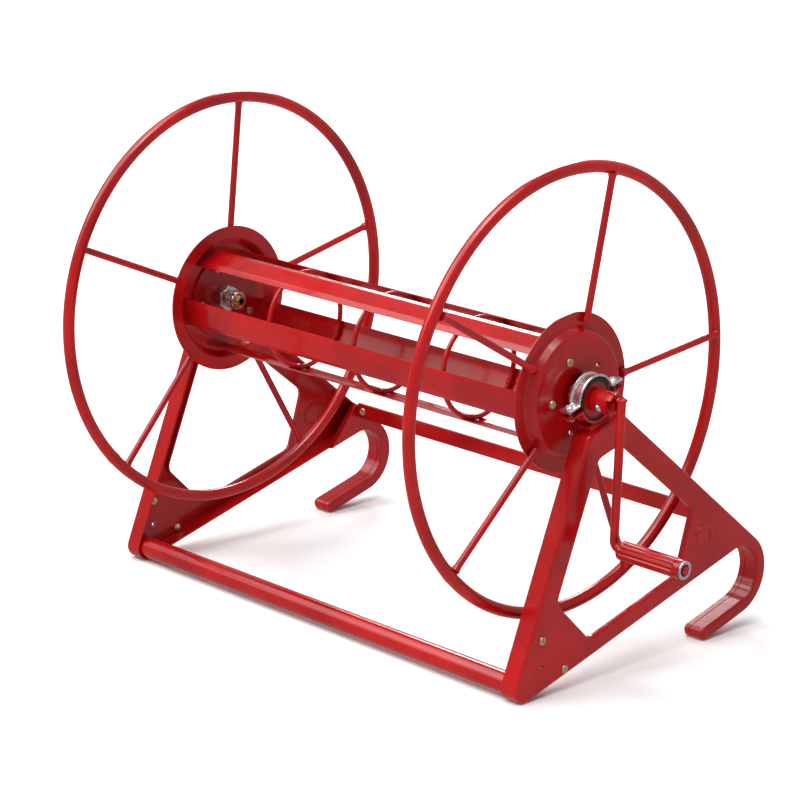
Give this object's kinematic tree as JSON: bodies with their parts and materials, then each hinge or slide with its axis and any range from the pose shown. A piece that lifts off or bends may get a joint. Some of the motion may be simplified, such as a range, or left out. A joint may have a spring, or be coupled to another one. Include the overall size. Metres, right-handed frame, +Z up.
{
  "type": "garden hose reel",
  "caption": "Wire-rim hose drum of folded slats on two pressed triangular side plates with rear hooks, a front tube and a side crank.",
  "frame": {"origin": "on the floor under the middle of the whole part's bounding box", "axes": "+X along the drum axle towards the crank, +Y to the rear hooks, +Z up"},
  "size_m": [0.8234, 0.568, 0.581],
  "materials": {
    "red_coat": "gloss powder coat",
    "grip_coat": "gloss, fluted",
    "yellow_zinc": "yellow zinc plate",
    "bright_zinc": "bright zinc plate",
    "brass": "turned",
    "steel": "gloss powder coat",
    "bush_plastic": "moulded"
  },
  "bodies": {
    "stand": {"bearing_bush_left": "bush_plastic", "bearing_bush_right": "bush_plastic", "bearing_clamp_left": "bright_zinc", "bearing_clamp_right": "bright_zinc", "bearing_seat_left": "red_coat", "bearing_seat_right": "red_coat", "clamp_nuts": "bright_zinc", "clamp_screws": "bright_zinc", "crossbar_nuts": "yellow_zinc", "crossbar_screws": "yellow_zinc", "crossbar_tab_left": "red_coat", "crossbar_tab_right": "red_coat", "frame_nuts": "yellow_zinc", "frame_screws": "yellow_zinc", "front_tube": "red_coat", "hook_shell_left": "red_coat", "hook_shell_right": "red_coat", "rear_crossbar": "red_coat", "side_plate_left": "red_coat", "side_plate_right": "red_coat", "tube_bracket_left": "red_coat", "tube_bracket_right": "red_coat"},
    "drum": {"axle_left": "steel", "axle_right": "steel", "crank_arm": "red_coat", "crank_hub": "red_coat", "crank_pin": "bright_zinc", "disc_left": "red_coat", "disc_nuts": "yellow_zinc", "disc_right": "red_coat", "disc_screws": "yellow_zinc", "hoop_1": "red_coat", "hoop_2": "red_coat", "hoop_3": "red_coat", "lock_ring": "bright_zinc", "nipple_nut": "bright_zinc", "outlet_nipple": "brass", "rim_left": "red_coat", "rim_right": "red_coat", "slat_1": "red_coat", "slat_2": "red_coat", "slat_3": "red_coat", "slat_4": "red_coat", "slat_5": "red_coat", "spokes_left": "red_coat", "spokes_right": "red_coat", "grip_collar": "bright_zinc"},
    "grip": {"grip_sleeve": "grip_coat", "grip_washer": "bright_zinc"},
    "inlet": {"inlet_nut": "bright_zinc", "inlet_swivel": "brass", "inlet_tail": "brass"}
  },
  "joints": [
    {"name": "drum_spin", "type": "hinge", "parent": "stand", "child": "drum", "pos_m": [-0.04665, -0.02698, 0.32404], "axis": [1, 0, 0], "continuous": true},
    {"name": "grip_spin", "type": "hinge", "parent": "drum", "child": "grip", "pos_m": [0.36495, -0.02698, 0.16384], "axis": [1, 0, 0], "continuous": true},
    {"name": "inlet_swivel", "type": "hinge", "parent": "stand", "child": "inlet", "pos_m": [-0.39765, -0.02698, 0.32404], "axis": [1, 0, 0], "continuous": true}
  ]
}
